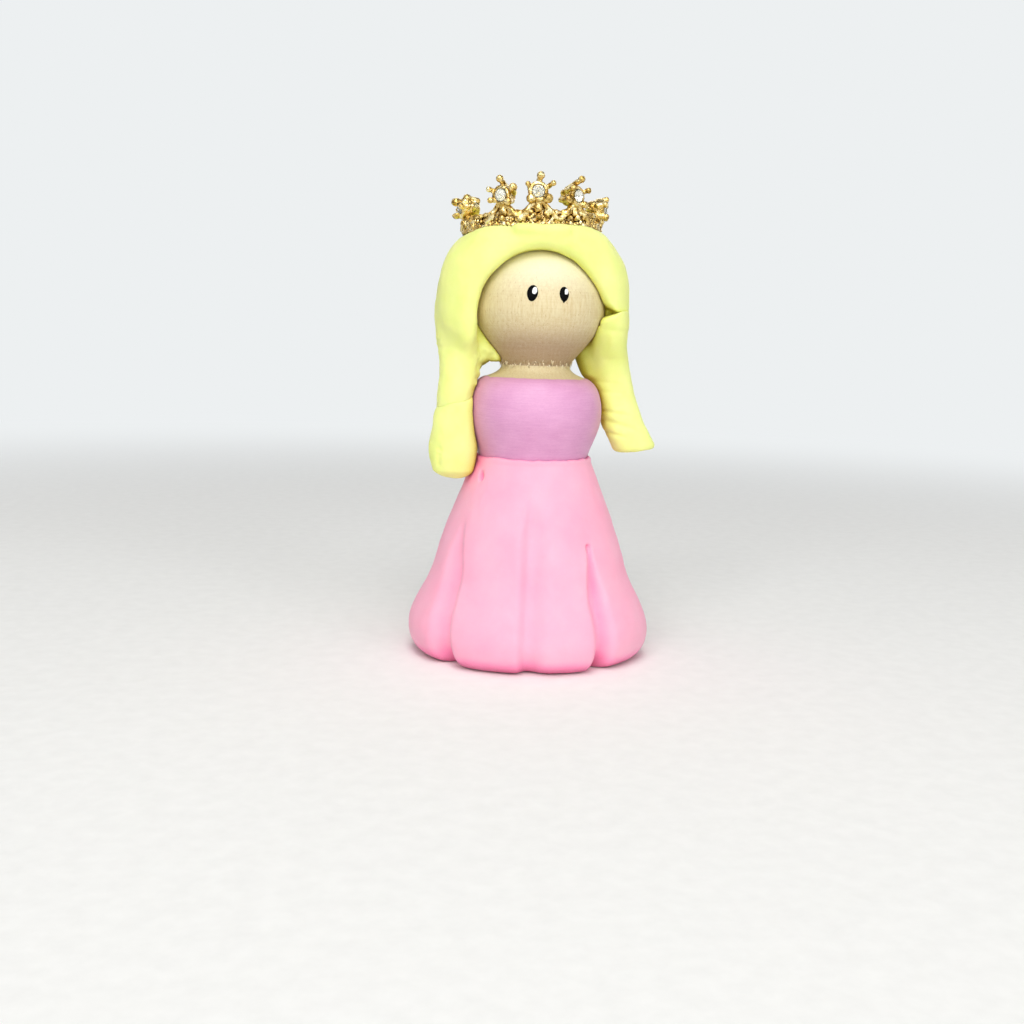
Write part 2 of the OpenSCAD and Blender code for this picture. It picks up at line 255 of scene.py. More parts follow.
def press(verts, faces, points, width, depth):
    """Presses a line through the points into the surface, or raises it if depth is negative."""
    points = np.array(points, float)
    near = np.full(len(verts), 1e9)
    for a, b in zip(points[:-1], points[1:]):
        near = np.minimum(near, capsule(verts, a, b, 0, 0))
    return verts - normals(verts, faces) * (depth * np.exp(-(near / width) ** 2))[:, None]


# ---- material tools

def material(name):
    mat = bpy.data.materials.new(name)
    mat.use_nodes = True
    return mat, mat.node_tree, mat.node_tree.nodes["Principled BSDF"]


def add(tree, kind, **values):
    node = tree.nodes.new("ShaderNode" + kind)
    for key, value in values.items():
        if key in node.inputs:
            node.inputs[key].default_value = value
        else:
            setattr(node, key, value)
    return node


def place(tree, scale=(1, 1, 1)):
    """Object coordinates in millimetres, stretched by scale."""
    where = add(tree, "TexCoord")
    mapping = add(tree, "Mapping")
    mapping.inputs["Scale"].default_value = tuple(s / MM for s in scale)
    tree.links.new(where.outputs["Object"], mapping.inputs["Vector"])
    return mapping.outputs["Vector"]


def noise_node(tree, vector, scale, detail=3.0, roughness=0.5, distortion=0.0):
    node = add(tree, "TexNoise", Scale=scale, Detail=detail, Roughness=roughness,
               Distortion=distortion)
    tree.links.new(vector, node.inputs["Vector"])
    return node.outputs["Fac"]


def ramp(tree, value, stops):
    node = add(tree, "ValToRGB")
    while len(node.color_ramp.elements) < len(stops):
        node.color_ramp.elements.new(0.5)
    for element, (at, colour) in zip(node.color_ramp.elements, stops):
        element.position = at
        element.color = (*colour, 1)
    tree.links.new(value, node.inputs["Fac"])
    return node.outputs["Color"]


def blend(tree, kind, amount, a, b):
    """Mixes two colours; amount, a and b are sockets or values."""
    node = tree.nodes.new("ShaderNodeMix")
    node.data_type = "RGBA"
    node.blend_type = kind
    for key, value in ((0, amount), (6, a), (7, b)):
        if isinstance(value, bpy.types.NodeSocket):
            tree.links.new(value, node.inputs[key])
        elif key:
            node.inputs[key].default_value = (*value, 1)
        else:
            node.inputs[key].default_value = value
    return node.outputs[2]


def grey(value):
    return (value, value, value)


def stain(tree, amount, base, pattern, stops):
    """Darkens base by a ramp over a pattern."""
    return blend(tree, "MULTIPLY", amount, base, ramp(tree, pattern, stops))


def map_range(tree, value, low, high, top=1.0, kind="SMOOTHSTEP"):
    """Goes smoothly from 0 to top as value goes from low to high."""
    node = add(tree, "MapRange", interpolation_type=kind)
    for key, number in (("From Min", low), ("From Max", high), ("To Max", top)):
        node.inputs[key].default_value = number
    tree.links.new(value, node.inputs["Value"])
    return node.outputs["Result"]


def dress(tree, shader, colour, values):
    """Links the shader's base colour and sets its plain inputs."""
    tree.links.new(colour, shader.inputs["Base Color"])
    for key, value in values.items():
        shader.inputs[key].default_value = value


def bump(tree, shader, layers):
    """Chains bumps of (height socket, distance in mm, strength) into the shader's normal."""
    last = None
    for height, distance, strength in layers:
        node = add(tree, "Bump", Strength=strength, Distance=distance * MM)
        tree.links.new(height, node.inputs["Height"])
        if last:
            tree.links.new(last, node.inputs["Normal"])
        last = node.outputs["Normal"]
    tree.links.new(last, shader.inputs["Normal"])


def linear(r, g, b):
    """A colour given as 0 to 255 on screen, as the light it stands for."""
    return tuple(c / 255 / 12.92 if c <= 10 else ((c / 255 + 0.055) / 1.055) ** 2.4
                 for c in (r, g, b))


def beech():
    """Pale turned beech: upright grain with short pores, and faint lathe rings; painted shade under the
    head and painted light on its top.
    """
    mat, tree, shader = material("beech")
    link = tree.links.new
    grain = noise_node(tree, place(tree, (1, 1, 0.07)), 3.2, 4, 0.6, 0.4)
    fine = noise_node(tree, place(tree, (1, 1, 0.09)), 9.0, 4, 0.75)
    pores = noise_node(tree, place(tree, (1, 1, 0.22)), 7.0, 2, 0.5)
    bands = add(tree, "TexWave", Scale=0.5, Distortion=3.5, Detail=3.0)
    bands.inputs["Detail Scale"].default_value = 0.8
    bands.bands_direction = "X"
    link(place(tree, (1, 0.35, 0.05)), bands.inputs["Vector"])
    rings = noise_node(tree, place(tree, (0.02, 0.02, 1)), 6.0, 3, 0.7)
    base = ramp(tree, grain, [(0.3, linear(219, 202, 159)), (0.7, linear(229, 218, 180))])
    streaks = [
        (0.2, bands.outputs["Fac"], [(0.0, grey(1)), (1.0, (0.93, 0.87, 0.78))]),
        (0.7, fine, [(0.35, (0.88, 0.81, 0.70)), (0.6, grey(1))]),
        (0.7, pores, [(0.27, (0.62, 0.46, 0.32)), (0.36, grey(1))]),
        (0.3, rings, [(0.35, (0.86, 0.8, 0.72)), (0.55, grey(1))]),
    ]
    for amount, pattern, stops in streaks:
        base = stain(tree, amount, base, pattern, stops)
    height = add(tree, "SeparateXYZ")
    link(place(tree), height.inputs["Vector"])
    # Painted shade: the underside of the head and the neck, below about 6 mm above the neck, are
    # multiplied towards (0.66, 0.58, 0.60) for the shade under the head; the body below the neck is left
    # out.
    low = map_range(tree, height.outputs["Z"], NECK_Z + 6.4, NECK_Z + 2.3)
    above = add(tree, "Math", operation="GREATER_THAN")
    above.inputs[1].default_value = NECK_Z - 0.2
    link(height.outputs["Z"], above.inputs[0])
    painted_underside_shade = add(tree, "Math", operation="MULTIPLY")
    link(low, painted_underside_shade.inputs[0])
    link(above.outputs["Value"], painted_underside_shade.inputs[1])
    base = blend(tree, "MULTIPLY", painted_underside_shade.outputs["Value"], base, (0.66, 0.58, 0.60))
    # Painted light: going up from the head's middle, the wood is mixed up to three quarters towards pale
    # cream, brightening the face under the fringe's shadow.
    pale = map_range(tree, height.outputs["Z"], HEAD_Z + 1.0, HEAD_Z + 7.5, 0.75)
    base = blend(tree, "MIX", pale, base, linear(250, 244, 216))
    dress(tree, shader, base, {"Roughness": 0.55, "Specular IOR Level": 0.35})
    bump(tree, shader, [(fine, 0.03, 0.4), (rings, 0.02, 0.3), (pores, 0.04, 0.3)])
    return mat


def bodice_paint():
    """Satin lilac-pink paint over the turned wood, brushed round the body."""
    mat, tree, shader = material("bodice_paint")
    strokes = noise_node(tree, place(tree, (0.08, 0.08, 1)), 5.0, 4, 0.65)
    patches = noise_node(tree, place(tree, (1, 1, 1.4)), 0.35, 3, 0.5)
    lines = noise_node(tree, place(tree, (0.02, 0.02, 1)), 9.0, 2, 0.8)
    grit = noise_node(tree, place(tree, (0.5, 0.5, 1)), 6.0, 4, 0.75)
    base = ramp(tree, patches, [(0.3, linear(219, 156, 196)), (0.7, linear(224, 163, 202))])
    base = stain(tree, 0.6, base, strokes, [(0.3, (0.88, 0.80, 0.88)), (0.65, grey(1))])
    base = stain(tree, 0.5, base, grit, [(0.35, (0.90, 0.80, 0.90)), (0.6, grey(1))])
    dress(tree, shader, base, {"Roughness": 0.45, "Specular IOR Level": 0.85})
    bump(tree, shader, [(lines, 0.04, 0.4), (strokes, 0.04, 0.5), (grit, 0.05, 0.6)])
    return mat


def foam_clay(name, light, deep, glow, tint, shade_dark):
    """Air-dried foam clay: matt and slightly translucent, with a skin of tiny dimples, and painted shade
    in its dimples and hollows.
    """
    mat, tree, shader = material(name)
    patches = noise_node(tree, place(tree), 0.18, 3, 0.5)
    dimples = noise_node(tree, place(tree), 5.5, 4, 0.6)
    grit = noise_node(tree, place(tree), 16.0, 2, 0.5)
    pores = add(tree, "TexVoronoi", Scale=1.3)
    tree.links.new(place(tree), pores.inputs["Vector"])
    pits = ramp(tree, pores.outputs["Distance"], [(0.05, grey(0)), (0.13, grey(1))])
    base = ramp(tree, patches, [(0.3, deep), (0.7, light)])
    # Painted shade: the dimples' bottoms, where the same noise sinks the surface, are made slightly
    # darker.
    base = stain(tree, 0.25, base, dimples, [(0.3, grey(0.9)), (0.6, grey(1))])
    # Painted shade: hollows within 3.2 mm of other surfaces are darkened through the tint to the dark
    # colour, in creases, gaps and under the crown.
    painted_hollow_shade = add(tree, "AmbientOcclusion", Distance=3.2 * MM, samples=8)
    shade_depths = [(0.12, shade_dark), (0.48, tint), (0.85, grey(1))]
    dress(tree, shader, stain(tree, 0.93, base, painted_hollow_shade.outputs["AO"], shade_depths), {
        "Roughness": 0.62, "Specular IOR Level": 0.28, "Sheen Weight": 0.05,
        "Subsurface Weight": 0.25, "Subsurface Radius": glow, "Subsurface Scale": 1.2 * MM,
    })
    bump(tree, shader, [(dimples, 0.035, 0.5), (grit, 0.012, 0.4), (pits, 0.05, 0.12)])
    return mat


def eye_paint(name, colour):
    """Dried paint with faint ripples, their tops a little paler as a painted highlight."""
    mat, tree, shader = material(name)
    ripple = noise_node(tree, place(tree), 1.6, 2, 0.5)
    # Painted highlight: the same noise raises the ripples, so their tops take the paler colour.
    ripple_top_highlight = tuple(min(1, c * 1.15 + 0.004) for c in colour)
    base = ramp(tree, ripple, [(0.35, colour), (0.7, ripple_top_highlight)])
    dress(tree, shader, base, {"Roughness": 0.45, "Specular IOR Level": 0.03})
    bump(tree, shader, [(ripple, 0.03, 0.3)])
    return mat


def cast_gold():
    """Plated casting: bright warm gold, browner in patches, with a slightly rough cast skin, and crevices
    darkened partly as patina, partly as painted shade.
    """
    mat, tree, shader = material("crown_gold")
    tone = noise_node(tree, place(tree), 1.1, 3, 0.6)
    skin_noise = noise_node(tree, place(tree), 4.0, 3, 0.6)
    tones = [(0.34, (0.27, 0.16, 0.03)), (0.48, (0.76, 0.53, 0.17)), (0.62, (1.0, 0.88, 0.50))]
    base = ramp(tree, tone, tones)
    # Crevices within 0.6 mm are darkened to near black: partly patina, partly painted shade.
    crevice_patina_and_shade = add(tree, "AmbientOcclusion", Distance=0.6 * MM, samples=8)
    base = stain(tree, 0.9, base, crevice_patina_and_shade.outputs["AO"], [(0.25, (0.12, 0.05, 0.01)), (0.7, grey(1))])
    dress(tree, shader, base, {"Metallic": 1.0})
    sheen = ramp(tree, skin_noise, [(0.3, grey(0.04)), (0.7, grey(0.13))])
    tree.links.new(sheen, shader.inputs["Roughness"])
    grain = noise_node(tree, place(tree), 9.0, 2, 0.5)
    bump(tree, shader, [(skin_noise, 0.12, 0.6), (grain, 0.03, 0.5)])
    return mat


def clear_stone():
    """Glass with a faint warm cloud."""
    mat, tree, shader = material("rhinestone")
    cloud = noise_node(tree, place(tree), 0.9, 2, 0.5)
    tint = ramp(tree, cloud, [(0.3, (0.95, 0.97, 0.90)), (0.7, (1, 1, 0.96))])
    dress(tree, shader, tint, {"Roughness": 0.02, "Transmission Weight": 0.75, "IOR": 1.6})
    return mat


def stone_foil():
    """The silvered back of a rhinestone."""
    mat, tree, shader = material("stone_foil")
    crinkle = noise_node(tree, place(tree), 2.5, 2, 0.5)
    silver = ramp(tree, crinkle, [(0.3, (0.92, 0.92, 0.84)), (0.7, (1.0, 1.0, 0.95))])
    dress(tree, shader, silver, {"Metallic": 0.95, "Roughness": 0.12})
    return mat


def studio_paper():
    """White paper near the doll that turns into an evenly lit backdrop further out."""
    mat, tree, shader = material("studio_paper")
    link = tree.links.new
    tooth = noise_node(tree, place(tree), 0.4, 4, 0.6)
    base = ramp(tree, tooth, [(0.3, linear(240, 240, 238)), (0.7, linear(245, 245, 243))])
    dress(tree, shader, base, {"Roughness": 0.8, "Specular IOR Level": 0.1})
    metres = place(tree, (MM, MM, MM))
    cards = noise_node(tree, metres, 1.3, 1, 0.4)
    soft = ramp(tree, cards, [(0.44, grey(0.05)), (0.52, grey(0.55))])
    strips = noise_node(tree, metres, 3.0, 1, 0.4)
    crisp = ramp(tree, strips, [(0.54, grey(0.01)), (0.58, grey(2.2))])
    seen = add(tree, "LightPath")
    around = blend(tree, "MIX", seen.outputs["Is Glossy Ray"], soft, crisp)
    backdrop = blend(tree, "MIX", seen.outputs["Is Camera Ray"], around, linear(*BACKDROP))
    glow = add(tree, "Emission", Strength=1.0)
    link(backdrop, glow.inputs["Color"])
    reach = add(tree, "VectorMath", operation="LENGTH")
    link(metres, reach.inputs[0])
    far = map_range(tree, reach.outputs["Value"], 0.10, 0.45, kind="SMOOTHERSTEP")
    both = tree.nodes.new("ShaderNodeMixShader")
    link(far, both.inputs["Fac"])
    link(shader.outputs["BSDF"], both.inputs[1])
    link(glow.outputs["Emission"], both.inputs[2])
    link(both.outputs["Shader"], tree.nodes["Material Output"].inputs["Surface"])
    return mat


def torn_fibre_and_highlight():
    """Fresh torn fibres, paler than the turned surface: partly the torn wood's own colour, partly a
    painted highlight.
    """
    mat, tree, shader = material("torn_fibre_and_highlight")
    streak = noise_node(tree, place(tree, (1, 1, 0.2)), 3.0, 2, 0.6)
    # Painted highlight in part: the fibres' pale cream stands for the bright glints on them, as well as
    # for fresh torn wood.
    base = ramp(tree, streak, [(0.3, linear(226, 208, 165)), (0.7, linear(252, 242, 214))])
    dress(tree, shader, base, {"Roughness": 0.6})
    return mat


WOOD = beech()
FIBRE = torn_fibre_and_highlight()
LILAC = bodice_paint()
# Each clay's last two colours are painted shade: a tint for shallow hollows and a dark colour for deep
# ones.
PINK = foam_clay("pink_clay", linear(252, 183, 205), linear(250, 171, 197), (1.0, 0.4, 0.55),
                 (1.0, 0.62, 0.84), (0.72, 0.32, 0.48))
YELLOW = foam_clay("yellow_clay", linear(247, 253, 161), linear(237, 249, 142), (1.0, 0.85, 0.3),
                   (0.95, 0.94, 0.66), (0.60, 0.47, 0.03))
BLACK = eye_paint("black_paint", (0.002, 0.002, 0.002))
WHITE = eye_paint("white_paint", (0.88, 0.88, 0.88))
GOLD = cast_gold()
STONE = clear_stone()
FOIL = stone_foil()


# ---- pieces

def piece(name, verts, faces, materials, nodes, body="doll", smooth=True, slots=None):
    """Makes a piece from vertices in millimetres, which stands for those CAD nodes."""
    mesh = bpy.data.meshes.new(name)
    mesh.from_pydata((np.asarray(verts) * MM).tolist(), [], [list(map(int, f)) for f in faces])
    for mat in materials:
        mesh.materials.append(mat)
    mesh.polygons.foreach_set("use_smooth", np.full(len(mesh.polygons), smooth))
    if slots is not None:
        mesh.polygons.foreach_set("material_index", np.asarray(slots, np.int32))
    mesh.validate()
    obj = bpy.data.objects.new(name, mesh)
    bpy.context.scene.collection.objects.link(obj)
    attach(obj, body)
    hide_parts(*nodes)
    return obj


WAIST = (WAIST_R, WAIST_Z)
BUST = (BUST_R, BUST_Z)
SHOULDER = (SHOULDER_R, SHOULDER_Z)
NECK = (NECK_R, NECK_Z)


def torso_curve(n):
    """The peg's outline from the waist to the shoulder."""
    return np.vstack([
        bezier(WAIST, (WAIST_R, WAIST_Z + 1.8), (BUST_R, BUST_Z - 3), BUST, n),
        bezier(BUST, (BUST_R, BUST_Z + 2.4), (9.0, SHOULDER_Z - 0.5), SHOULDER, n),
    ])


def peg_curve():
    """The peg's outline from its foot's edge up to just short of the top of the head."""
    head = np.radians(np.linspace(0, 89.4, 70))
    return np.vstack([
        [(FOOT_R - 0.5, 0)],
        bezier((FOOT_R, 0.5), (FOOT_R - 1, 10), (WAIST_R, 20), WAIST, 24),
        torso_curve(24),
        bezier(SHOULDER, (6.1, SHOULDER_Z + 0.4), (NECK_R, NECK_Z - 1.1), NECK, 16),
        bezier(NECK, (NECK_R + 1.2, NECK_Z + 1.5), (HEAD_R, HEAD_Z - 2.6), (HEAD_R, HEAD_Z), 44),
        np.column_stack([HEAD_R * np.cos(head), HEAD_Z + HEAD_R * np.sin(head)]),
    ])


def splinters(rng):
    """Short torn fibres that hang from the underside of the head into the neck's groove."""
    verts, faces = [], []
    count = 150
    for k in range(count):
        a = 2 * pi * k / count + rng.normal(0, 0.08)
        top = NECK_Z + rng.uniform(-0.2, 1.1)
        length, width = rng.uniform(0.3, 1.0), rng.uniform(0.04, 0.13)
        out = NECK_R + 0.62 * max(top - NECK_Z, 0) + 0.03
        lift = rng.uniform(0.05, 0.45)
        radial = np.array([sin(a), -cos(a), 0])
        across = np.array([cos(a), sin(a), 0])
        root = radial * out + [0, 0, top]
        tip = radial * (NECK_R + lift) + across * rng.normal(0, 0.16) + [0, 0, top - length]
        first = len(verts)
        side, front = across * width, radial * width
        verts += [root - side, root + front, root + side, root - front, tip]
        faces += [[first + i, first + (i + 1) % 4, first + 4] for i in range(4)]
        faces.append([first + 3, first + 2, first + 1, first])
    return np.array(verts), faces


def make_peg():
    """The turned wood, smooth in the shade of the clay and torn at the neck."""
    verts, faces = skin(turned(peg_curve(), 320))
    low_head = ease(51, 45, verts[:, 2]) * (verts[:, 2] > NECK_Z)
    lathe = noise(np.column_stack([verts[:, :2] * 0.05, verts[:, 2:] * 3.2]), 11)
    torn = np.exp(-((verts[:, 2] - NECK_Z - 0.35) / 0.45) ** 2)
    grain = noise(verts * [2.2, 2.2, 0.12], 12)
    rough = noise(verts * [4.5, 4.5, 1.6], 13)
    rise = 0.012 * lathe * (0.4 + low_head) + 0.010 * grain + 0.16 * torn * rough
    above = verts[:, 2] > 41.2
    verts = verts + normals(verts, faces) * (rise * above)[:, None]
    more, more_faces = splinters(np.random.default_rng(14))
    faces = faces + [[i + len(verts) for i in f] for f in more_faces]
    slots = [0] * (len(faces) - len(more_faces)) + [1] * len(more_faces)
    verts = np.vstack([verts, more])
    obj = piece("turned_peg", verts, faces, [WOOD, FIBRE], ["wooden_peg"], slots=slots)


def make_bodice():
    """The coat of paint, as a thin closed skin round the torso."""
    around = 256
    curve = torso_curve(60)
    curve = np.vstack([curve, [(SHOULDER_R, SHOULDER_Z)]])
    lines = noise(np.column_stack([curve * 0, curve[:, 1] * 3.6])[:, :3], 21)
    fine = noise(np.column_stack([curve * 0, curve[:, 1] * 9.0])[:, :3], 22)
    lower = 0.5 + 0.5 * ease(38, 35, curve[:, 1])
    outer = curve + np.column_stack([PAINT_T * 0.8 + lower * (0.010 * lines + 0.006 * fine), 0 * lines])
    outer[-1] = (SHOULDER_R + 0.03, SHOULDER_Z)
    outer[-2, 0] -= 0.05
    inner = curve[::-1] - [0.02, 0]
    loop = np.vstack([outer, inner])
    verts = turned(loop, around).reshape(-1, 3)
    faces = ring_faces(len(loop), around, closed=True)
    edge = ease(SHOULDER_Z - 0.6, SHOULDER_Z, verts[:, 2])
    verts[:, 2] += 0.10 * edge * noise(verts * [0.6, 0.6, 0.1], 23)
    obj = piece("bodice_coat", verts, faces, [LILAC], ["bodice_paint"])


# Folds pressed into the skirt: angle where it starts and at the hem, height it starts at,
# depth, how far it spreads to its left and right, and the height it takes to sink in
FOLDS = [
    (-62.5, -49, 21.5, 1.75, 1.6, 1.1, 8.0),
    (-8.5, -9, 26.5, 1.0, 0.9, 1.8, 9.0),
    (31, 29, 17.6, 2.0, 1.1, 1.3, 1.1),
    (76, 79, 22.0, 1.70, 0.6, 2.6, 6.0),
    (121, 118, 19.0, 1.80, 2.4, 0.7, 1.2),
    (166, 163, 24.0, 1.60, 0.6, 2.5, 8.0),
    (-149, -152, 18.5, 1.80, 0.7, 2.3, 1.5),
    (-104, -100, 22.5, 1.70, 2.6, 0.8, 7.0),
]
# Finger dents in the skirt: (angle, height) of both ends, width and depth
DENTS = [((-61.5, 26.9), (-58.5, 26.3), 0.34, 0.8), ((31, 17.4), (31, 16.9), 0.30, 1.1)]
HEM_POINTS, LIP_POINTS = 40, 9


def skirt_outline():
    """The skirt's section, up its outside and down its inside, and how much of it shows."""
    lip_r = 0.26
    lip_x, lip_z = WAIST_R + 0.55, SKIRT_TOP - 0.25
    outer = np.vstack([
        bezier((SKIRT_R - 3.5, 0), (SKIRT_R - 1.3, 0), (SKIRT_R, 1.4), (SKIRT_R, 3.8), HEM_POINTS),
        bezier((SKIRT_R, 3.8), (SKIRT_R, 7.2), (15.2, 9.6), (14.1, 14), 50),
        bezier((14.1, 14), (13.2, 17.6), (11.4, 21.6), (lip_x, lip_z), 80),
    ])
    lip = np.radians(np.linspace(0, 180, LIP_POINTS))
    top = np.column_stack([lip_x - lip_r + lip_r * np.cos(lip), lip_z + lip_r * np.sin(lip)])
    inside = [(WAIST_R + 0.05, 27.5), (WAIST_R + 0.05, 25), (8.2, 20), (10, 10),
              (FOOT_R + 0.05, 0.6), (FOOT_R, 0)]
    return np.vstack([outer, top, inside]), len(outer) + len(top)


def make_skirt():
    """The clay skirt: turned, then folded, lumped, rolled at its lip and dented."""
    around = 420
    outline, shown = skirt_outline()
    rings = turned(outline, around)
    rings[-1, :, 2] = 0
    verts = rings.reshape(-1, 3).copy()
    faces = ring_faces(len(outline), around, closed=True)
    r = np.hypot(verts[:, 0], verts[:, 1])
    z = verts[:, 2]
    angle = np.degrees(np.arctan2(verts[:, 0], -verts[:, 1]))
    outward = np.sin(np.radians(angle)), -np.cos(np.radians(angle))
    outside = np.repeat(np.arange(len(outline)) < shown, around)
    sink = np.zeros(len(verts))
    for top, hem, start, depth, left, right, lead in FOLDS:
        centre = top + (hem - top) * np.clip(1 - z / start, 0, 1)
        off = ((angle - centre + 180) % 360 - 180) * np.pi / 180 * r
        down = ease(start, start - 9, z)
        side = np.where(off < 0, left, right) * (0.3 + 0.85 * down)
        sunk = depth * (0.3 + 0.7 * down) * ease(start + 0.4, start - lead, z)
        sunk *= 1 + 0.35 * ease(4.5, 1, z)
        sink += sunk * np.exp(-np.abs(off / side) ** 2.6)
    below_lip = 1 - ease(SKIRT_TOP - 1.5, SKIRT_TOP, z)
    lumps = 0.22 * noise(verts * [0.16, 0.16, 0.12], 31)
    lumps += 0.05 * noise(verts * 0.55, 32) + 0.012 * noise(verts * 2.2, 33)
    rolled = 0.20 * np.exp(-((z - SKIRT_TOP + 0.35) / 0.28) ** 2)
    for move in (-sink + lumps * (0.25 + 0.75 * below_lip), rolled):
        for axis in (0, 1):
            verts[:, axis] += outward[axis] * move * outside
    edge = ease(SKIRT_TOP - 1.2, SKIRT_TOP - 0.3, z) * outside
    ragged = 0.16 * noise(verts * [0.45, 0.45, 0], 34) + 0.07 * noise(verts * [1.5, 1.5, 0], 35)
    verts[:, 2] += edge * (ragged - 0.12)
    for a, b, width, depth in DENTS:
        verts = press(verts, faces, [on_skirt(*a), on_skirt(*b)], width, depth)
    obj = piece("clay_skirt", verts, faces, [PINK], ["skirt"])


def skirt_wall(z):
    """How far out the plain skirt's outside is at height z, above its hem."""
    outline, shown = skirt_outline()
    outer = outline[HEM_POINTS:shown - LIP_POINTS]
    return np.interp(z, outer[:, 1], outer[:, 0])


def on_skirt(angle, z):
    """A point on the plain skirt at that angle and height."""
    a, r = radians(angle), skirt_wall(z)
    return r * sin(a), -r * cos(a), z


# Hair: the CAD's cap and strands, worked by hand

CAP_X = -0.6
CAP_HALF_W, CAP_FRONT, CAP_BACK = 14.1, 9.1, 14.0
CAP_UP, CAP_DOWN = 13.8, 7.7
FACE_X, FACE_Z, FACE_R = -0.35, 49.6, 8.95
SEAM = (np.array([-11.0, 0, 37.3]), 18.0)
SEAM_LAP = 0.18
CHEEK = (10.7, 50.35)
# Clay tucked behind the neck, and the lip of clay in front of the crown's foot: a capsule each
NECK_TUCK = ((-9.0, 2.0, 43.2), (-6.5, 3.2, 45.6), 1.7, 1.5)
FRONT_LIP = ((-4.3, -8.45, 61.35), (2.4, -8.45, 61.35), 0.6, 0.6)
# How round the pressed edges are, where clay was cut, and how far it stays off the doll
SEAM_ROUND, SEAT_ROUND, CLAY_GAP = 0.5, 0.4, 0.02
# Each strand's stations: height, middle x and y, half its width and half its depth
LEFT_STRAND = [
    [25.9, -11.8, -1.4, 2.0, 1.4],
    [27.0, -11.9, -1.5, 3.0, 2.3],
    [30.0, -12.0, -1.8, 3.5, 2.9],
    [34.0, -12.0, -2.1, 3.1, 3.0],
    [38.0, -11.8, -2.0, 2.8, 2.9],
    [42.0, -11.3, -1.2, 2.8, 2.9],
    [46.0, -11.2, 0.2, 3.3, 3.2],
    [50.0, -11.0, 1.2, 2.7, 2.6],
]
RIGHT_STRAND = [
    [27.5, 16.5, 0.0, 3.0, 2.0],
    [31.2, 15.05, 0.0, 3.25, 2.4],
    [34.0, 13.7, 0.7, 3.3, 2.6],
    [38.0, 12.4, 1.1, 3.1, 2.8],
    [42.0, 11.45, 0.8, 2.9, 2.9],
    [46.0, 10.6, -1.0, 2.8, 3.6],
    [49.0, 10.3, -2.0, 2.9, 4.2],
    [52.5, 9.8, -2.6, 3.1, 4.6],
]
# The lock's inner side, turned in towards the neck
RIGHT_INNER = [
    [39.8, 9.6, 2.0, 1.0, 1.0],
    [41.2, 9.1, 2.0, 1.7, 1.8],
    [43.6, 8.7, 2.0, 2.3, 2.3],
    [46.5, 8.2, 2.0, 2.7, 2.6],
    [50.3, 8.8, 2.0, 3.0, 2.6],
]


def cap_radii():
    """How far the cap's outside is from the head's middle, over elevation and azimuth."""
    up = np.radians(np.linspace(-90, 90, 121))
    turn = np.radians(np.linspace(-180, 180, 241))
    e, a = np.meshgrid(up, turn, indexing="ij")
    d = np.stack([np.cos(e) * np.sin(a), -np.cos(e) * np.cos(a), np.sin(e)], -1)
    low, high = np.zeros(e.shape), np.full(e.shape, 25.0)
    for _ in range(30):
        r = (low + high) / 2
        x, y, z = np.moveaxis(d * r[..., None], -1, 0)
        dome = CAP_UP - 0.0085 * x ** 2
        v = np.abs(z) / np.where(z < 0, CAP_DOWN, dome)
        v_in = np.minimum(v, 0.9999)
        wide = CAP_HALF_W * (1 - v_in ** 2.7) ** (1 / 2.7)
        power = np.where(y < 0, 6.0, np.where(z < 0, 2.3, 3.4))
        deep = np.where(y < 0, CAP_FRONT, CAP_BACK) * (1 - v_in ** power) ** (1 / power)
        out = (np.abs(x) / wide) ** 2.3 + (np.abs(y) / deep) ** 2.3 > 1
        out |= v >= 1
        high = np.where(out, r, high)
        low = np.where(out, low, r)
    return low


CAP_TABLE = cap_radii()


def cap_field(p):
    """Roughly the distance to the cap's outside."""
    q = p - [CAP_X, 0, HEAD_Z]
    r = np.maximum(np.linalg.norm(q, axis=1), 1e-6)
    e = (np.degrees(np.arcsin(q[:, 2] / r)) + 90) / 1.5
    a = (np.degrees(np.arctan2(q[:, 0], -q[:, 1])) + 180) / 1.5
    i, j = np.clip(e.astype(int), 0, 119), np.clip(a.astype(int), 0, 239)
    s, t = e - i, a - j
    table = (CAP_TABLE[i, j] * (1 - s) * (1 - t) + CAP_TABLE[i + 1, j] * s * (1 - t)
             + CAP_TABLE[i, j + 1] * (1 - s) * t + CAP_TABLE[i + 1, j + 1] * s * t)
    return (r - table) * 0.9


def strand_field(p, stations):
    """Roughly the distance to a strand of hair, with its ends rounded by their own stations."""
    low, high = stations[0][0], stations[-1][0]
    x, y, wide, deep = through(stations, p[:, 2]).T
    d = np.sqrt(((p[:, 0] - x) / wide) ** 2 + ((p[:, 1] - y) / deep) ** 2 + 1e-9)
    side = (d - 1) * np.minimum(wide, deep)
    return smax(side, np.maximum(low - p[:, 2], p[:, 2] - high), 1.0)


PEG_CURVE = peg_curve()


def doll_field(p):
    """Roughly the distance to the peg and its paint."""
    r = np.hypot(p[:, 0], p[:, 1])
    wall = np.interp(p[:, 2], PEG_CURVE[:, 1], PEG_CURVE[:, 0])
    body = (r - wall - PAINT_T) * 0.85
    bare = np.where(p[:, 2] > NECK_Z, (r - wall) * 0.85, body)
    return np.where(p[:, 2] > HEAD_Z - 2.0, ball(p, HEAD, HEAD_R), bare)


def skirt_field(p):
    r = np.hypot(p[:, 0], p[:, 1])
    return np.where(p[:, 2] < SKIRT_TOP, r - skirt_wall(p[:, 2]), 1.0)


def above_seam(p):
    """Negative above the slanting seam across the left strand."""
    at, slant = SEAM
    s, c = sin(radians(slant)), cos(radians(slant))
    wave = 0.12 * np.sin(p[:, 0] * 1.3) + 0.05 * np.sin(p[:, 1] * 2.1)
    return -((p[:, 2] - at[2]) * c - (p[:, 0] - at[0]) * s) + wave


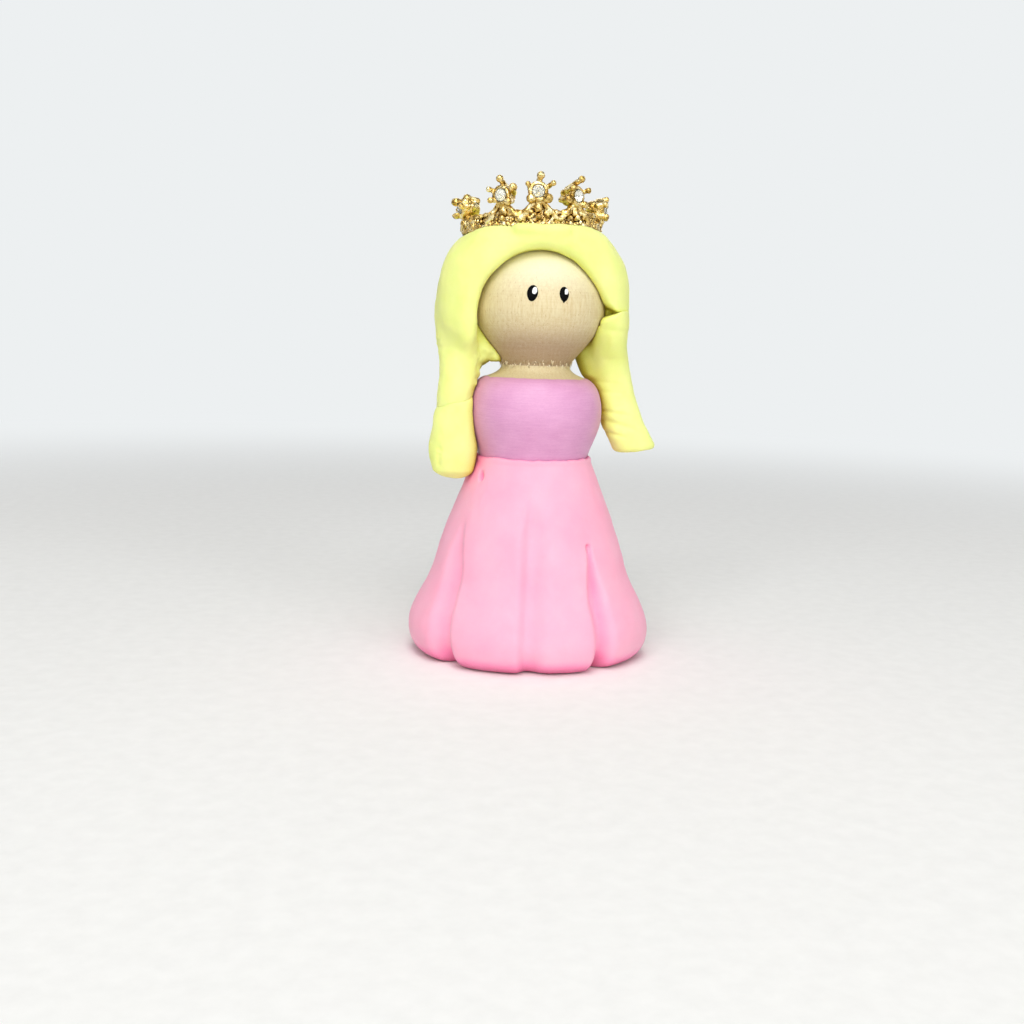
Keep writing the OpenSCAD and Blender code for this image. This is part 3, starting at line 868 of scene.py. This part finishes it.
def left_strand(p):
    """The left strand, pinched softly just above the seam."""
    return strand_field(p, LEFT_STRAND) + 0.22 * np.exp(-((above_seam(p) + 0.3) / 0.8) ** 2)


def cheek_line(x, slope):
    """The height of the crease at the right cheek, which opens towards the face."""
    x_end, z_end = CHEEK
    return z_end + slope * np.maximum(x_end - x, 0) + 0.06 * np.maximum(x - x_end, 0)


def cheek_round(x):
    """How round the edges of the crease are: almost closed towards the outside."""
    return 0.75 - 0.6 * ease(CHEEK[0] - 0.6, CHEEK[0] + 0.6, x)


def clay_cap(p):
    """The cap: its dome, less the face's opening, the nape and the cheek's crease."""
    x, y, z = p.T
    across = x - FACE_X
    turn = np.degrees(np.arctan2(z - FACE_Z, across))
    flare = (0.08 + 0.3 * np.exp(-((turn - 5) / 20) ** 2)) * np.clip(-y - 4.5, 0, 3.6)
    flat = 0.5 * np.exp(-((turn - 38) / 24) ** 2)
    round_part = np.hypot(across, z - FACE_Z) - FACE_R + flat - flare
    below = np.abs(across) - FACE_R - flare
    opening = np.where(z > FACE_Z, round_part, below)
    opening = smax(opening, y + 2.5, 0.8)
    shell = smax(cap_field(p), -opening, 2.2)
    over = z - 47.5
    nape = smax(np.maximum(5.0 - x, (y - 3.7 - 0.6 * (47.5 - z)) * 0.85), over, 0.6)
    shell = smax(shell, -nape, 0.8)
    cheek = smax(np.maximum(6.6 - x, y + 3.4), (z - cheek_line(x, 0.62)) * 0.9, 0.4)
    shell = smax(shell, -cheek, cheek_round(x))
    upper_left = smax(left_strand(p), above_seam(p) - SEAM_LAP, SEAM_ROUND)
    shell = smin(shell, upper_left, 2.0)
    shell = smin(shell, capsule(p, *NECK_TUCK), 1.0)
    shell = smin(shell, capsule(p, *FRONT_LIP), 0.8)
    return smax(shell, -doll_field(p) + CLAY_GAP, 0.35)


def clay_lock_left(p):
    lock = smax(left_strand(p), -above_seam(p) - SEAM_LAP, SEAM_ROUND)
    lock = smax(lock, -doll_field(p) + CLAY_GAP, 0.3)
    return smax(lock, -skirt_field(p) + CLAY_GAP, 0.3)


def clay_lock_right(p):
    x, y, z = p.T
    lock = strand_field(p, RIGHT_STRAND)
    lock = smax(lock, 30.15 + 0.11 * (x - 15) - z, 0.8)
    lock = smin(lock, strand_field(p, RIGHT_INNER), 1.2)
    fused = 0.3 * ease(CHEEK[0] - 0.3, CHEEK[0] + 0.8, x)
    lock = smax(lock, (z - cheek_line(x, -0.42) - fused) * 0.9, cheek_round(x))
    return smax(lock, -doll_field(p) + CLAY_GAP, 0.3)


# Creases across the right lock: x and z of both ends, width and depth
RIGHT_CREASES = [
    (9.2, 36.2, 14.4, 35.4, 0.32, 0.22),
    (10.4, 34.6, 14.6, 33.6, 0.40, 0.30),
    (10.8, 32.9, 13.4, 32.3, 0.28, 0.22),
    (8.6, 40.4, 14.0, 39.9, 0.30, 0.07),
    (8.8, 38.9, 15.0, 38.6, 0.30, 0.08),
    (9.5, 43.6, 13.0, 43.9, 0.35, 0.06),
    (9.0, 47.9, 13.2, 47.6, 0.40, 0.12),
]


def wrinkle(verts, faces, x0, z0, x1, z1, width, depth):
    """Presses a crease from (x0, z0) to (x1, z1) into the side that faces -Y."""
    t = np.clip((verts[:, 0] - x0) / (x1 - x0), 0, 1)
    past = np.maximum(np.maximum(x0 - verts[:, 0], verts[:, 0] - x1), 0)
    off = np.hypot(verts[:, 2] - z0 - t * (z1 - z0), past)
    n = normals(verts, faces)
    front = ease(0.5, -0.1, n[:, 1])
    sunk = depth * front * np.exp(-(off / width) ** 2) * (0.5 + 0.5 * np.sin(t * pi))
    return verts - n * sunk[:, None]


# Layers of hand work in the clay: cell size, depth and seed
CLAY_SKIN = [(5.0, 0.20, 41), (1.6, 0.06, 42), (0.6, 0.016, 43)]
PINCHED_SKIN = [(0.55, 0.16, 44)]
NAPE_SKIN = [(1.1, 0.30, 45), (0.5, 0.14, 46)]
# Marks in the end of the left lock: both ends, width and depth
LEFT_MARKS = [
    ((-14.2, -3.95, 30.3), (-14.1, -4.0, 30.2), 0.34, 0.26),
    ((-14.2, -3.85, 29.4), (-14.3, -3.5, 28.1), 0.30, 0.22),
]
CAP_GRID, LOCK_GRID = 0.26, 0.2


def seated_cap(p):
    """The cap with the groove that the crown has pressed into it."""
    return smax(clay_cap(p), -crown_seat_depth(p), SEAT_ROUND)


def make_hair():
    verts, faces = surface_net(seated_cap, (-16.2, -11.2, 35.5), (14.8, 15.2, 64.6), CAP_GRID)
    mask = ease(0.05, 0.6, doll_field(verts))
    verts = hand_worked(verts, faces, CLAY_SKIN, mask)
    pinched = np.exp(-(((verts - [-14.4, -1.0, 45.0]) / [1.2, 2.5, 2.6]) ** 2).sum(1))
    verts = hand_worked(verts, faces, PINCHED_SKIN, pinched)
    x, z = verts[:, 0], verts[:, 2]
    nape = ease(47.0, 45.4, z) * ease(-10.0, -8.8, x) * ease(3.0, 0.0, x) * mask
    verts = hand_worked(verts, faces, NAPE_SKIN, nape)
    obj = piece("clay_hair_cap", verts, faces, [YELLOW], ["hair_cap"])

    verts, faces = surface_net(clay_lock_left, (-16.5, -6, 25.0), (-7.0, 2.5, 40.8), LOCK_GRID)
    verts = hand_worked(verts, faces, CLAY_SKIN)
    for start, end, width, depth in LEFT_MARKS:
        verts = press(verts, faces, [start, end], width, depth)
    obj = piece("clay_lock_left", verts, faces, [YELLOW], ["hair_lock_left"])

    verts, faces = surface_net(clay_lock_right, (4.0, -8.5, 29.4), (19.6, 5.5, 52.2), LOCK_GRID)
    verts = hand_worked(verts, faces, CLAY_SKIN)
    for crease in RIGHT_CREASES:
        verts = wrinkle(verts, faces, *crease)
    obj = piece("clay_lock_right", verts, faces, [YELLOW], ["hair_lock_right"])


# Eyes

EYE_TURN, EYE_UP = 13.4, 2.2


def eye_outline(a, wide, high, low_wide, drip):
    """An upright egg: angle a from +X, wider above, with a point at its bottom."""
    x = np.cos(a) * np.where(np.sin(a) > 0, wide, low_wide + (wide - low_wide) * (1 + np.sin(a)))
    y = np.sin(a) * high
    y = y - drip * np.exp(-((a - 1.5 * pi) / 0.16) ** 2)
    return x, y


def paint_dot(name, node, mat, turn, outline, lean, base, thick):
    """A raised dot of paint on the head, thickest in the middle, leant by some degrees."""
    around, rings = 64, 14
    q = radians(turn)
    a = np.arange(around) * 2 * pi / around
    ox, oy = outline(a)
    c, s = cos(radians(lean)), sin(radians(lean))
    ox, oy = ox * c + oy * s, oy * c - ox * s
    rows = []
    for under in (True, False):
        scales = np.linspace(0.02, 1, rings)
        for t in scales if under else scales[::-1]:
            h = base - 0.03 if under else base + thick * (1 - t ** 4) ** 0.5
            x, z = ox * t, EYE_UP + oy * t
            y = -np.sqrt(np.maximum((HEAD_R + h) ** 2 - x ** 2 - z ** 2, 0))
            turned_x, turned_y = x * cos(q) - y * sin(q), x * sin(q) + y * cos(q)
            rows.append(np.stack([turned_x, turned_y, HEAD_Z + z], -1))
    verts, faces = skin(rows)
    faces = [f[::-1] for f in faces]
    obj = piece(name, verts, faces, [mat], [node])


def glint_outline(a, size):
    return np.cos(a) * 0.34 * size + 0.26, np.sin(a) * 0.50 * size + 0.42


def make_eyes():
    # Side, name, half the width and height, the length of the drip below, and the glint's size
    eyes = [(-1, "left", 0.78, 1.13, 0.0, 1.0), (1, "right", 0.71, 1.04, 0.22, 0.8)]
    for side, name, wide, high, drip, glint in eyes:
        turn = side * EYE_TURN
        paint_dot(f"eye_dot_{name}", f"eye_{name}", BLACK, turn,
                  lambda a: eye_outline(a, wide, high, wide * 0.86, drip), 6, 0, 0.13)
        paint_dot(f"glint_dot_{name}", f"eye_glint_{name}", WHITE, turn,
                  lambda a: glint_outline(a, glint), 8, 0.12, 0.07)


# Crown

def turn_matrix(axis, degrees):
    return np.array(Matrix.Rotation(radians(degrees), 3, axis))


LEAN = turn_matrix("Y", CROWN_ROLL) @ turn_matrix("X", CROWN_TILT) @ turn_matrix("Z", CROWN_TURN)


def to_crown(p):
    return (p - CROWN_PLACE) @ LEAN


def from_crown(p):
    return p @ LEAN.T + CROWN_PLACE


def crown_seat_depth(p):
    """Negative inside the groove that the crown's foot has pressed into the hair."""
    q = to_crown(p)
    r = np.hypot(q[:, 0], q[:, 1])
    return np.maximum(np.abs(r - (CROWN_R - BAND_T / 2)) - BAND_T / 2 - 0.12, -q[:, 2] - 0.05)


def rail_height(a):
    rises = [(RAIL_RISE - p[2]) * np.exp(-((a - p[0]) / RAIL_SPREAD) ** 2) for p in POINTS]
    return BAND_H - RAIL_T / 2 + np.max(rises, axis=0)


def scattered(u, v, r, pitch, sizes, seed):
    """Distance to balls scattered one to a cell over the sheet (u, v), r off the sheet."""
    table = np.random.default_rng(seed).random((4, 4096))
    near = np.full(len(u), 9.0)
    iu, iv = np.floor(u / pitch).astype(int), np.floor(v / pitch).astype(int)
    for du, dv in product((-1, 0, 1), repeat=2):
        pick = ((iu + du) * 57 + (iv + dv) * 131) & 4095
        a, b, out, size = table[:, pick]
        cu, cv = (iu + du + 0.15 + 0.7 * a) * pitch, (iv + dv + 0.15 + 0.7 * b) * pitch
        d = np.sqrt((u - cu) ** 2 + (v - cv) ** 2 + (r - 0.12 * out) ** 2)
        near = np.minimum(near, d - (sizes[0] + (sizes[1] - sizes[0]) * size))
    return near


def band_field(q):
    """The crown's band in the crown's own frame: beaded foot, rail, and cast scrolls between."""
    a = np.degrees(np.arctan2(q[:, 0], -q[:, 1]))
    r = np.hypot(q[:, 0], q[:, 1]) - (CROWN_R - BAND_T / 2)
    z = q[:, 2]
    arc = np.radians(a) * CROWN_R
    foot = np.hypot(r, z - 0.32) - 0.30
    pitch = 0.72
    bead_at = (arc / pitch - np.round(arc / pitch)) * pitch
    beads = np.sqrt(bead_at ** 2 + (r - 0.08) ** 2 + (z - 0.62) ** 2) - 0.36
    hoop = smin(foot, beads, 0.12)
    ends = np.clip(a, *POINT_ENDS)
    top = rail_height(ends)
    slope = (rail_height(ends + 0.5) - rail_height(ends - 0.5)) / (radians(1) * CROWN_R)
    past = np.maximum(np.maximum(POINT_ENDS[0] - a, a - POINT_ENDS[1]), 0) * radians(1) * CROWN_R
    wave = 0.10 * np.sin(arc * 4.1) * np.sin(arc * 1.7)
    rail = np.sqrt((r - 0.05) ** 2 + ((z - top) / np.sqrt(1 + slope ** 2)) ** 2 + past ** 2) - 0.30 - wave
    sheet = np.maximum(np.abs(r + 0.12) - 0.14, np.maximum(0.3 - z, z - top))
    grains = scattered(arc, z, r - 0.12, 0.58, (0.14, 0.36), 63)
    grains = np.maximum(grains, np.maximum(0.2 - z, z - top - 0.1))
    relief = np.where(past > 0, 9.0, smin(sheet, grains, 0.08))
    ribs = np.full(len(q), 9.0)
    for angle, _, lower in POINTS:
        top_z = BAND_H - RAIL_T / 2 + RAIL_RISE - lower
        middle = radians(angle)
        out = CROWN_R - 0.08
        for side in (-1, 1):
            arch = [(side * turn, up * top_z) for turn, up in ((15, 0.35), (9, 0.62), (3, 0.98))]
            turns = [middle + radians(t) for t, _ in arch]
            bars = [(out * sin(t), -out * cos(t), up) for t, (_, up) in zip(turns, arch)]
            for start, end in zip(bars[:-1], bars[1:]):
                ribs = smin(ribs, capsule(q, start, end, 0.36, 0.34), 0.3)
        out = CROWN_R + 0.2
        ribs = smin(ribs, ball(q, (out * sin(middle), -out * cos(middle), 1.55), 0.42), 0.1)
    return smin(smin(hoop, rail, 0.12), smin(relief, ribs, 0.25), 0.12)


# Each setting's claws, from the viewer's left: the tip (x, y, z) in the setting's own frame,
# the ball on it, and how far back along the cup its wire starts
CLAWS = [
    [(-0.2, 0.85, 0.55, 0.72, -1.2), (-0.1, -0.75, 0.55, 0.68, -1.2), (0.5, 1.42, -0.9, 0.60, -2.4),
     (1.35, 0.2, 0.1, 0.44, -1.6), (-1.3, 0.0, 0.1, 0.40, -1.6)],
    [(0.15, 2.15, 0.25, 0.52, -1.7), (-1.6, 0.85, 0.3, 0.42, -1.4), (-1.45, -0.65, 0.3, 0.42, -1.4),
     (2.15, 0.85, 0.1, 0.58, -2.0), (1.25, -1.0, 0.0, 0.55, -1.6)],
    [(0.35, 2.05, 0.25, 0.55, -1.7), (-1.45, 0.95, 0.3, 0.37, -1.4), (2.05, 1.0, 0.3, 0.40, -1.6),
     (-1.05, -1.0, 0.2, 0.66, -1.4), (1.30, -1.0, 0.2, 0.68, -1.4)],
    [(0.30, 2.28, 0.3, 0.50, -2.2), (-1.5, 0.95, 0.2, 0.46, -2.0), (1.75, 0.85, 0.3, 0.42, -1.6),
     (-1.45, -0.5, -0.6, 0.56, -2.3), (1.1, -1.1, 0.1, 0.48, -1.6)],
    [(0.0, 1.30, 0.30, 0.44, -0.9), (-1.30, 0.5, 0.20, 0.40, -0.9), (1.30, 0.5, 0.20, 0.40, -0.9),
     (-1.0, -1.15, 0.25, 0.46, -2.0), (0.95, -1.15, 0.25, 0.44, -1.8)],
]


def setting_field(p, claws):
    """One setting, at its stone's middle with +Z outwards and +Y up: a cup, claws and a post."""
    r = np.hypot(p[:, 0], p[:, 1])
    z = p[:, 2]
    wide = CUP_R * (0.86 + 0.14 * ease(-CUP_DEPTH, 0, z))
    cup = smax(smax(r - wide, z, 0.35), -CUP_DEPTH - z, 1.0)
    bore = smax(r - STONE_R * 1.02, -0.85 - z, 0.2)
    cup = smax(cup, -bore, 0.15)
    post = capsule(p, (0, -CUP_R - 0.85, -0.85), (0, -0.6, -0.9), 0.62, 0.5)
    shape = smin(cup, post, 0.4)
    for x, y, out, size, back in claws:
        tip = np.array([x, y, out])
        d = np.array([x, y, 0]) / hypot(x, y)
        root = d * (CUP_R - 0.25) + [0, 0, back]
        wire = capsule(p, root, tip, 0.42, size * 0.72)
        shape = smin(shape, smin(wire, ball(p, tip, size), 0.15), 0.2)
    bead = smax(r - STONE_R * 0.96, -z - 0.2, 0.05)
    return smax(shape, -bead, 0.1)


def point_frame(k):
    """Takes a setting's own points to the frame's."""
    angle, bend, lower = POINTS[k]
    own = turn_matrix("Z", angle + bend) @ turn_matrix("X", 90)
    at = turn_matrix("Z", angle) @ np.array([0, -CUP_R_AT, STONE_UP - lower])
    return lambda p: from_crown(p @ own.T + at)


def make_stone(k):
    """A brilliant: eight facets to the table over a girdle of sixteen, on a foiled cone."""
    n = 16
    a = np.arange(n) * 2 * pi / n
    girdle_r = STONE_R * 0.99

    def ring(r, z, turn=0.0, count=n):
        b = np.arange(count) * 2 * pi / count + turn
        return np.column_stack([r * np.cos(b), r * np.sin(b), np.full(count, z)])

    verts = np.vstack([
        [(0, 0, -0.82)], ring(girdle_r, -0.06), ring(girdle_r, 0.04),
        ring(STONE_R * 0.80, 0.27, pi / 8, 8),
        ring(STONE_R * 0.55, 0.42, 0, 8), [(0, 0, 0.42)],
    ])
    low, high, mains, table = 1, 1 + n, 1 + 2 * n, 1 + 2 * n + 8
    top = table + 8
    faces, slots = [], []
    for i in range(n):
        j = (i + 1) % n
        faces.append([0, low + j, low + i])
        faces.append([low + i, low + j, high + j, high + i])
        slots += [1, 0]
    for i in range(8):
        j, h = (i + 1) % 8, (i - 1) % 8
        girdle = [high + 2 * i, high + (2 * i + 1) % n, high + (2 * i + 2) % n]
        faces += [[girdle[0], girdle[1], mains + i], [girdle[1], girdle[2], mains + i]]
        faces += [[girdle[0], mains + i, table + i, mains + h], [mains + i, table + j, table + i]]
        faces.append([table + i, table + j, top])
        slots += [0, 0, 0, 0, 0]
    obj = piece(f"stone_{k + 1}", point_frame(k)(verts), faces, [STONE, FOIL],
                [f"rhinestone_{k + 1}"], "crown", False, slots)


def make_crown():
    reach, above = CROWN_R + 1.0, BAND_H + RAIL_RISE + 1.0
    verts, faces = surface_net(band_field, (-reach, -reach, -0.3), (reach, reach, above), 0.12)
    verts = hand_worked(verts, faces, [(0.45, 0.05, 61), (0.22, 0.02, 62)])
    obj = piece("cast_band", from_crown(verts), faces, [GOLD], ["crown_band"], "crown")
    for k in range(len(POINTS)):
        verts, faces = surface_net(lambda p: setting_field(p, CLAWS[k]),
                                   (-2.9, -3.1, -3.3), (3.1, 3.1, 1.5), 0.10)
        verts = hand_worked(verts, faces, [(0.5, 0.05, 80 + k), (0.22, 0.02, 90 + k)])
        obj = piece(f"cast_setting_{k + 1}", point_frame(k)(verts), faces, [GOLD],
                    [f"crown_setting_{k + 1}"], "crown")
        make_stone(k)


make_peg()
make_bodice()
make_skirt()
make_eyes()
make_hair()
make_crown()


# ---- studio

def stand(obj, axes, where):
    """Puts an object at a place in metres, its own axes along three unit vectors."""
    way = Matrix(np.column_stack(axes).tolist()).to_4x4()
    way.translation = where
    obj.matrix_world = way
    bpy.context.scene.collection.objects.link(obj)


def make_studio():
    """A round sweep of pale paper: a flat floor that curves up to a wall all round."""
    flat, wall, bend = 0.9, 1.6, 0.6
    curve = [(0.02, 0), (flat, 0)]
    for t in np.radians(np.linspace(6, 90, 15)):
        curve.append((flat + bend * sin(t), bend * (1 - cos(t))))
    curve.append((flat + bend, wall))
    rings = turned(np.array(curve), 96)
    verts = np.vstack([rings.reshape(-1, 3), [(0, 0, 0)]])
    faces = ring_faces(len(curve), 96)[:, ::-1].tolist()
    faces += [[len(verts) - 1, i, (i + 1) % 96] for i in range(96)]
    mesh = bpy.data.meshes.new("studio_sweep")
    mesh.from_pydata(verts.tolist(), [], faces)
    mesh.materials.append(studio_paper())
    mesh.polygons.foreach_set("use_smooth", np.full(len(mesh.polygons), True))
    sweep = bpy.data.objects.new("studio_sweep", mesh)
    bpy.context.scene.collection.objects.link(sweep)

    def lamp(name, place_at, aim, size, power, colour):
        data = bpy.data.lights.new(name, "AREA")
        data.shape = "DISK"
        data.size = size
        data.energy = power
        data.color = colour
        obj = bpy.data.objects.new(name, data)
        direction = np.array(aim, float) - np.array(place_at, float)
        z = -direction / np.linalg.norm(direction)
        x = np.cross([0, 1, 0.01], z)
        x /= np.linalg.norm(x)
        y = np.cross(z, x)
        stand(obj, [x, y, z], place_at)

    middle = (0, 0, 0.035)
    lamp("overhead", (-0.06, -0.20, 0.76), middle, 0.36, 1.2, (1.0, 0.985, 0.95))
    lamp("key", (-0.06, -0.58, 0.56), middle, 0.40, 2.4, (1.0, 0.985, 0.95))
    for side in (-1, 1):
        lamp("front", (side * 0.42, -0.75, 0.32), middle, 0.45, 1.6, (0.97, 0.985, 1.0))
    lamp("sparkle", (-0.35, -0.5, 0.5), middle, 0.06, 0.25, (1, 1, 1))
    world = bpy.data.worlds.new("studio")
    world.use_nodes = True
    ceiling = add(world.node_tree, "TexNoise", Scale=2.2, Detail=1.0)
    where = add(world.node_tree, "TexCoord")
    world.node_tree.links.new(where.outputs["Generated"], ceiling.inputs["Vector"])
    tones = [(0.46, grey(0.03)), (0.54, (0.62, 0.64, 0.67))]
    panels = ramp(world.node_tree, ceiling.outputs["Fac"], tones)
    world.node_tree.links.new(panels, world.node_tree.nodes["Background"].inputs["Color"])
    bpy.context.scene.world = world
    bpy.context.scene.view_settings.view_transform = "Standard"


def make_camera():
    """A camera a little to the viewer's left of the face, level with it and looking down."""
    distance, height, around = 184.57, 47.4, -9.0
    aim_left, pitch, roll = 0.87, 8.26, 1.72
    a, left, down, q = (radians(v) for v in (around, aim_left, pitch, roll))
    heading = a + left
    level = cos(down)
    forward = np.array([-sin(heading) * level, cos(heading) * level, -sin(down)])
    right = np.cross(forward, [0, 0, 1])
    right /= np.linalg.norm(right)
    up = np.cross(right, forward)
    rolled_right = right * cos(q) + up * sin(q)
    rolled_up = up * cos(q) - right * sin(q)
    data = bpy.data.cameras.new("camera")
    data.sensor_width = 36
    data.lens = 43.9
    data.clip_start = 0.01
    obj = bpy.data.objects.new("camera", data)
    where = (distance * sin(a) * MM, -distance * cos(a) * MM, height * MM)
    stand(obj, [rolled_right, rolled_up, -forward], where)
    bpy.context.scene.camera = obj


make_studio()
make_camera()
